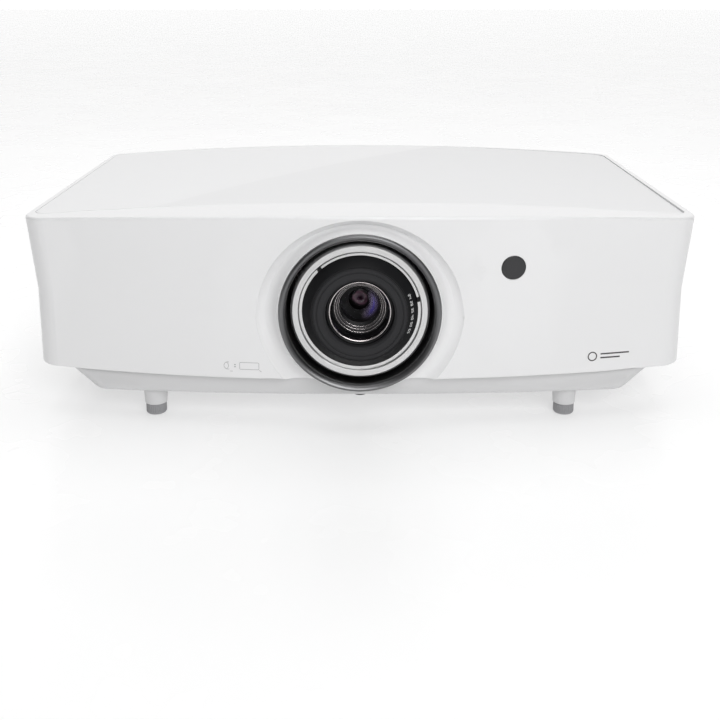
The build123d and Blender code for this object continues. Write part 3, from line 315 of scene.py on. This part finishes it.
SLOT_MATERIALS = {
    "white_case": WHITE, "white_base": SHADED_BASE_WHITE, "rear_grey": REAR_GREY, "vent_grey": VENT_GREY,
    "steel": STEEL, "brass": BRASS, "black_plastic": BLACK, "dark_window": WINDOW,
    "light_pipe": PIPE, "dark_chrome": DARK_CHROME, "cast_metal": CAST, "motor_metal": MOTOR,
    "barrel_black": BARREL, "bright_ring": BRIGHT, "focus_grey": FOCUS, "lens_glass": GLASS,
    "board_green": BOARD, "heatsink_metal": FIN, "socket_metal": SOCKET, "jack_plastic": JACK_BLACK,
    "key_grey": KEY_GREY, "foot_grey": FOOT_GREY,
}


def set_material(obj, material):
    obj.data.materials.clear()
    obj.data.materials.append(material)


def soften(obj, width, angle=35.0, segments=2):
    """Welds the mesh and rounds its sharp edges a little, so that they catch the light."""
    weld = obj.modifiers.new("weld", "WELD")
    weld.merge_threshold = 0.000002
    bevel = obj.modifiers.new("edge", "BEVEL")
    bevel.width = width
    bevel.segments = segments
    bevel.limit_method = "ANGLE"
    bevel.angle_limit = math.radians(angle)
    bevel.harden_normals = True


for part in frame["record"]["subparts"]:
    set_material(NODES[part["node"]], SLOT_MATERIALS[part["material_slot"]])


CREASE_START = 84 * MM
CREASE_RUN = (218 * MM, 246 * MM)


def finish_lid():
    """The lid is glossier to the left of its crease and satin to the right, where its white is also a shade
    darker as painted shade.
    """
    lid = NODES["top_panel"]
    lid.data.materials.clear()
    lid.data.materials.append(LID_WHITE)
    lid.data.materials.append(SHADED_LID_SATIN)
    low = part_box("top_panel")[0]
    start = Vector((low.x + CREASE_START, low.y))
    along = Vector(CREASE_RUN)
    for face in lid.data.polygons:
        place = face.center.xy - start
        face.material_index = int(along.cross(place) < 0)


finish_lid()


RIM_RADIUS = 41.1 * MM
ZOOM_ARC = (10, 135)    # degrees from +X towards +Z


def finish_rim():
    """The barrel's front rim is bright except where the zoom arc runs on it."""
    barrel = NODES["lens_barrel"]
    barrel.data.materials.append(BRIGHT)
    for face in barrel.data.polygons:
        side, rise = face.center.x - LENS_X, face.center.z - LENS_Z
        turn = math.degrees(math.atan2(rise, side))
        rim = math.hypot(side, rise) > RIM_RADIUS and face.normal.y < -0.9
        face.material_index = int(rim and not ZOOM_ARC[0] < turn < ZOOM_ARC[1])


finish_rim()
set_material(NODES["inner_element"], DEEP_GLASS)
SOFT_EDGES = {
    "bottom_case": 0.4, "rear_panel": 0.2, "zoom_ring": 0.25, "scale_arc": 0.15,
    "engine_housing": 0.6, "ac_inlet": 0.25,
}
for name, width in SOFT_EDGES.items():
    soften(NODES[name], width * MM)


# ---------------------------------------------------------------- making pieces
def piece(name, points, faces, body, material, smooth=True):
    """Mesh piece that rides on a body."""
    mesh = bpy.data.meshes.new(name)
    mesh.from_pydata([tuple(point) for point in points], [], faces)
    mesh.validate()
    mesh.update()
    obj = bpy.data.objects.new(name, mesh)
    bpy.context.scene.collection.objects.link(obj)
    set_material(obj, material)
    for polygon in mesh.polygons:
        polygon.use_smooth = smooth
    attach(obj, body)
    return obj


def lathe(name, profile, body, material, centre=None, steps=160):
    """Closed ring turned about a line along Y from (radius, y) points in metres."""
    cx, cz = centre or (LENS_X, LENS_Z)
    points, faces = [], []
    count = len(profile)
    for step in range(steps):
        angle = 2 * math.pi * step / steps
        for radius, y in profile:
            points.append((cx + radius * math.cos(angle), y, cz + radius * math.sin(angle)))
    for step in range(steps):
        here, there = step * count, (step + 1) % steps * count
        for index in range(count):
            nxt = (index + 1) % count
            faces.append((here + index, here + nxt, there + nxt, there + index))
    return piece(name, points, faces, body, material)


def finer(path, closed, step=0.0008):
    """The same line with points at most a step apart."""
    ends = path[1:] + path[:1] if closed else path[1:]
    fine = []
    for (x0, y0), (x1, y1) in zip(path, ends):
        count = max(1, math.ceil(math.hypot(x1 - x0, y1 - y0) / step))
        fine += [(x0 + (x1 - x0) * k / count, y0 + (y1 - y0) * k / count) for k in range(count)]
    return fine if closed else fine + [path[-1]]


def ink(name, strokes, place, body, material, thick=0.00006):
    """Thin printed marks. A stroke is (points, width, closed); place(u, v, lift) maps to the surface."""
    points, faces = [], []
    for path, width, closed in strokes:
        path = finer(path, closed)
        start = len(points)
        count = len(path)
        for index, point in enumerate(path):
            before = path[index - 1] if index or closed else path[index]
            after = path[(index + 1) % count] if index < count - 1 or closed else path[index]
            along = Vector((after[0] - before[0], after[1] - before[1])).normalized()
            off = Vector((-along.y, along.x)) * width / 2
            for lift in (-thick, thick):
                points.append(place(point[0] + off.x, point[1] + off.y, lift))
                points.append(place(point[0] - off.x, point[1] - off.y, lift))
        spans = count if closed else count - 1
        for index in range(spans):
            a = start + 4 * index
            b = start + 4 * ((index + 1) % count)
            faces += [
                (a + 2, a + 3, b + 3, b + 2), (a, b, b + 1, a + 1),
                (a, a + 2, b + 2, b), (a + 1, b + 1, b + 3, a + 3),
            ]
        if not closed:
            end = start + 4 * (count - 1)
            faces += [(start, start + 1, start + 3, start + 2), (end, end + 2, end + 3, end + 1)]
    return piece(name, points, faces, body, material, smooth=False)


def arc(cx, cy, radius, start, end, steps=24):
    """Points on an arc, angles in degrees."""
    angles = [math.radians(start + (end - start) * k / steps) for k in range(steps + 1)]
    return [(cx + radius * math.cos(a), cy + radius * math.sin(a)) for a in angles]


def ring_path(cx, cy, radius, steps=28):
    return arc(cx, cy, radius, 0, 360 - 360 / steps, steps - 1)


def rounded_box(x0, y0, x1, y1, radius, steps=4):
    """Outline of a rectangle with rounded corners."""
    path = []
    corners = ((x1, y1, 0), (x0, y1, 90), (x0, y0, 180), (x1, y0, 270))
    for cx, cy, start in corners:
        inner_x = cx - radius if cx == x1 else cx + radius
        inner_y = cy - radius if cy == y1 else cy + radius
        path += arc(inner_x, inner_y, radius, start, start + 90, steps)
    return path


# ---------------------------------------------------------------- marks on the front
def on_front(u, v, lift):
    """Printed marks on the front face; u runs along X and v along Z."""
    return front_point(u, v, lift)[0]


def lens_pictogram():
    """Tiny lens-and-screen drawing at the lower left of the lens."""
    x, z = LENS_X - 0.0905, LENS_Z - 0.0433
    hair = 0.00028
    strokes = [
        (arc(x - 0.0052, z, 0.0028, 70, 290, 14), hair, False),
        (arc(x - 0.0075, z, 0.0028, -60, 60, 10), hair, False),
        ([(x - 0.0005, z + 0.0008), (x + 0.0006, z + 0.0008)], 0.0007, False),
        ([(x - 0.0005, z - 0.0008), (x + 0.0006, z - 0.0008)], 0.0007, False),
        (rounded_box(x + 0.0035, z - 0.0026, x + 0.0175, z + 0.0026, 0.0006), hair, True),
        ([(x + 0.0178, z - 0.0030), (x + 0.0192, z - 0.0042)], hair, False),
        ([(x - 0.0036, z - 0.0042), (x - 0.0016, z - 0.0042)], hair, False),
    ]
    return ink("lens_pictogram", strokes, on_front, CASE, INK)


def front_badge():
    """Neutral badge at the lower right: a small ring and two bars."""
    x, z = LENS_X + 0.1705, LENS_Z - 0.0405
    strokes = [
        (ring_path(x, z, 0.0032), 0.0009, True),
        ([(x + 0.0062, z + 0.0016), (x + 0.0282, z + 0.0016)], 0.0011, False),
        ([(x + 0.0062, z - 0.0014), (x + 0.0212, z - 0.0014)], 0.0011, False),
    ]
    return ink("front_badge", strokes, on_front, CASE, DARK_INK)


lens_pictogram()
front_badge()


# ---------------------------------------------------------------- lens details
CONE_TOP = (0.0412, BARREL_FRONT + 0.0070)
CONE_TIP = (0.0348, BARREL_FRONT)
SCALE_START = math.radians(22)
SEGMENTS = {
    "top": ((0, 2), (1, 2)), "middle": ((0, 1), (1, 1)), "foot": ((0, 0), (1, 0)),
    "left high": ((0, 1), (0, 2)), "right high": ((1, 1), (1, 2)),
    "left low": ((0, 0), (0, 1)), "right low": ((1, 0), (1, 1)),
}
DIGITS = {
    "2": ("top", "right high", "middle", "left low", "foot"),
    "3": ("top", "right high", "middle", "right low", "foot"),
    "4": ("left high", "middle", "right high", "right low"),
    "5": ("top", "left high", "middle", "right low", "foot"),
    "6": ("top", "left high", "middle", "left low", "right low", "foot"),
    "8": ("top", "left high", "right high", "middle", "left low", "right low", "foot"),
    "0": ("top", "left high", "right high", "left low", "right low", "foot"),
}


def on_cone(u, v, lift):
    """Point on the barrel's front cone; u runs clockwise along it and v across it, outwards."""
    slant = math.hypot(CONE_TOP[0] - CONE_TIP[0], CONE_TOP[1] - CONE_TIP[1])
    share = v / slant
    radius = CONE_TIP[0] + (CONE_TOP[0] - CONE_TIP[0]) * share
    y = CONE_TIP[1] + (CONE_TOP[1] - CONE_TIP[1]) * share
    off = Vector((CONE_TOP[1] - CONE_TIP[1], CONE_TIP[0] - CONE_TOP[0])) / slant * lift
    turn = SCALE_START - u / CONE_TIP[0]
    radius += off.x
    return Vector((LENS_X + radius * math.cos(turn), y + off.y, LENS_Z + radius * math.sin(turn)))


def zoom_scale():
    """Plain number scale on the right of the cone."""
    wide, tall = 0.00105, 0.00105
    u, base = 0.0, 0.0022
    strokes = []
    for character in "24 28 35 40 50 65":
        for name in DIGITS.get(character, ()):
            (x0, y0), (x1, y1) = SEGMENTS[name]
            path = [(u + x0 * wide, base + y0 * tall), (u + x1 * wide, base + y1 * tall)]
            strokes.append((path, 0.00034, False))
        u += 0.00185 if character != " " else 0.0012
    return ink("zoom_scale", strokes, on_cone, LENS_BODY, SCALE_INK)


def lens_cell():
    """What shows through the front glass: retaining rings, polished edges and the rear element."""
    back = GLASS_HIGH.y
    steps = (
        ("cell_step_0", 19.4, 18.6, 0.3, 1.6, INNER_RING),
        ("cell_edge_0", 18.55, 18.05, 0.2, 0.8, POLISHED),
        ("cell_step_1", 19.4, 17.0, 2.4, 3.8, INNER_RING),
        ("cell_edge_1", 16.95, 16.55, 2.3, 2.9, POLISHED),
        ("cell_step_2", 19.4, 15.6, 4.6, 5.8, INNER_RING),
        ("cell_edge_2", 15.55, 15.2, 4.5, 5.1, POLISHED),
    )
    for name, outer, inner, near, far, material in steps:
        bevel = min(0.3, (far - near) / 3)
        profile = [
            (outer, near), (inner + bevel, near), (inner, near + bevel), (inner, far), (outer, far),
        ]
        path = [(radius * MM, back + depth * MM) for radius, depth in profile]
        lathe(name, path, LENS_BODY, material)
    front = GLASS_LOW.y
    rim = [
        (0.02225, front + 0.0034), (0.02225, front + 0.0016), (0.0218, front + 0.0013),
        (0.0207, front + 0.0028),
    ]
    lathe("glass_retaining_ring", rim, LENS_BODY, POLISHED)
    stop = INNER_BACK + 0.0035
    dome = [(0.0001, stop), (0.004, stop + 0.0003), (0.0075, stop + 0.0012), (0.0105, stop + 0.0026)]
    dome += [(0.0105, stop + 0.005), (0.0001, stop + 0.005)]
    lathe("rear_element", dome, LENS_BODY, PUPIL)


lens_cell()
zoom_scale()


# ---------------------------------------------------------------- rear details
PANEL_LOW, PANEL_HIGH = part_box("rear_panel")
SCREW_INSET = 7.5 * MM
HAIRLINE = 0.3 * MM


def middle(node):
    """X and Z of the middle of a CAD node."""
    low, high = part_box(node)
    return (low.x + high.x) / 2, (low.z + high.z) / 2


def on_plane(face):
    """Places printed marks on the plane y = face, seen from behind."""
    return lambda u, v, lift: Vector((u, face + lift, v))


def round_node(node, gap):
    """Outline at a gap round a CAD node."""
    low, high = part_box(node)
    return rounded_box(low.x - gap, low.z - gap, high.x + gap, high.z + gap, 0.003)


def screw_head(name, x, z):
    """Domed cross-recess screw in the rear panel."""
    face = PANEL_HIGH.y
    profile = [(0.0001, face + 0.0013), (0.0016, face + 0.0011), (0.0026, face + 0.0004)]
    profile += [(0.0028, face - 0.0002), (0.0001, face - 0.0002)]
    lathe(name, profile, CASE, STEEL, centre=(x, z), steps=32)
    # The cross recess is not cut: a black cross laid on the dome is painted shade.
    reach, width = 0.0014, 0.0005
    recess_shade_arms = [
        ([(x - reach, z), (x + reach, z)], width, False),
        ([(x, z - reach), (x, z + reach)], width, False),
    ]
    ink(f"{name}_cross", recess_shade_arms, on_plane(face + 0.00125), CASE, BLACK)


def rear_screws():
    """Screws at the corners of the rear panel."""
    low_x, high_x = PANEL_LOW.x + SCREW_INSET, PANEL_HIGH.x - SCREW_INSET
    low_z, high_z = PANEL_LOW.z + SCREW_INSET, PANEL_HIGH.z - SCREW_INSET
    places = ((low_x, low_z), (high_x, low_z), (low_x, high_z), (high_x, high_z))
    for index, (x, z) in enumerate(places):
        screw_head(f"rear_screw_{index}", x, z)


def rear_marks():
    """Lines round the connectors, the inlet and the round key pad."""
    pad_x, pad_z = middle("nav_pad")
    low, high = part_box("nav_pad")
    strokes = [
        (round_node("socket_frames", 3 * MM), HAIRLINE, True),
        (round_node("ac_inlet", 4 * MM), HAIRLINE, True),
        (ring_path(pad_x, pad_z, (high.x - low.x) / 2 + 2 * MM, 48), HAIRLINE, True),
    ]
    ink("rear_marks", strokes, on_plane(PANEL_HIGH.y), CASE, SCALE_INK)


def power_symbol():
    """Ring with an upright stroke on the power key."""
    x, z = middle("power_button")
    stroke = [(x, z + 0.0008), (x, z + 0.0034)]
    strokes = [(arc(x, z, 0.0025, 125, 415, 22), 0.0005, False), (stroke, 0.0005, False)]
    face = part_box("power_button")[1].y
    ink("power_symbol", strokes, on_plane(face), "power_button_key", SCALE_INK)


rear_screws()
rear_marks()
power_symbol()


# ---------------------------------------------------------------- stage, light and camera
CAMERA_PLACE = (0.0, -0.8317, 0.3164)
CAMERA_TIP = 12.12    # degrees below level
FLOOR_REACH = 14.0


def stage_floor():
    """Pale satin table of opal acrylic, faintly lit from below."""
    reach = FLOOR_REACH
    mesh = bpy.data.meshes.new("studio_floor")
    corners = [(-reach, -reach, 0), (reach, -reach, 0), (reach, reach, 0), (-reach, reach, 0)]
    mesh.from_pydata(corners, [], [(0, 1, 2, 3)])
    obj = bpy.data.objects.new("studio_floor", mesh)
    bpy.context.scene.collection.objects.link(obj)
    n = Nodes("opal_acrylic")
    pale = n.ramp(n.noise(3.0), (0.3, (0.61, 0.61, 0.61)), (0.7, (0.63, 0.63, 0.63)))
    n.link(pale, n.shader.inputs["Base Color"])
    n.link(n.spread(n.noise(12.0), 0.24, 0.3), n.shader.inputs["Roughness"])
    n.link(pale, n.shader.inputs["Emission Color"])
    n.shader.inputs["Emission Strength"].default_value = 0.65
    n.shader.inputs["IOR"].default_value = 1.4
    set_material(obj, n.material)


def area_light(name, place, target, size, power, size_y=None):
    data = bpy.data.lights.new(name, "AREA")
    data.shape = "RECTANGLE"
    data.size = size
    data.size_y = size_y or size
    data.energy = power
    obj = bpy.data.objects.new(name, data)
    bpy.context.scene.collection.objects.link(obj)
    obj.location = place
    obj.rotation_euler = (Vector(target) - Vector(place)).to_track_quat("-Z", "Y").to_euler()
    return obj


def lighting():
    """White backdrop behind, darker room round the camera, softboxes above and in front."""
    world = bpy.data.worlds.new("studio")
    bpy.context.scene.world = world
    world.use_nodes = True
    tree = world.node_tree
    place = tree.nodes.new("ShaderNodeTexCoord")
    parts = tree.nodes.new("ShaderNodeSeparateXYZ")
    tree.links.new(place.outputs["Generated"], parts.inputs[0])
    ramp = tree.nodes.new("ShaderNodeValToRGB")
    tree.links.new(parts.outputs["Y"], ramp.inputs[0])
    for element, (spot, level) in zip(ramp.color_ramp.elements, ((0.48, 0.13), (0.78, 1.0))):
        element.position = spot
        element.color = (level, level, level, 1)
    background = tree.nodes["Background"]
    tree.links.new(ramp.outputs[0], background.inputs["Color"])
    background.inputs["Strength"].default_value = 1.1
    area_light("top_softbox", (0.0, 0.0, 1.6), (0, 0, 0.1), 1.6, 14)
    area_light("front_softbox", (0.5, -2.2, 1.35), (0, 0, 0.08), 1.7, 33, 1.1)


def camera():
    """Studio camera in front and above, tipped down, with a small shift that keeps the sides upright."""
    data = bpy.data.cameras.new("camera")
    data.lens = 49.92
    data.sensor_width = 36.0
    data.shift_y = -0.22
    obj = bpy.data.objects.new("camera", data)
    bpy.context.scene.collection.objects.link(obj)
    obj.location = CAMERA_PLACE
    obj.rotation_euler = (math.radians(90 - CAMERA_TIP), 0, 0)
    bpy.context.scene.camera = obj


stage_floor()
lighting()
camera()
bpy.context.scene.view_settings.view_transform = "Standard"
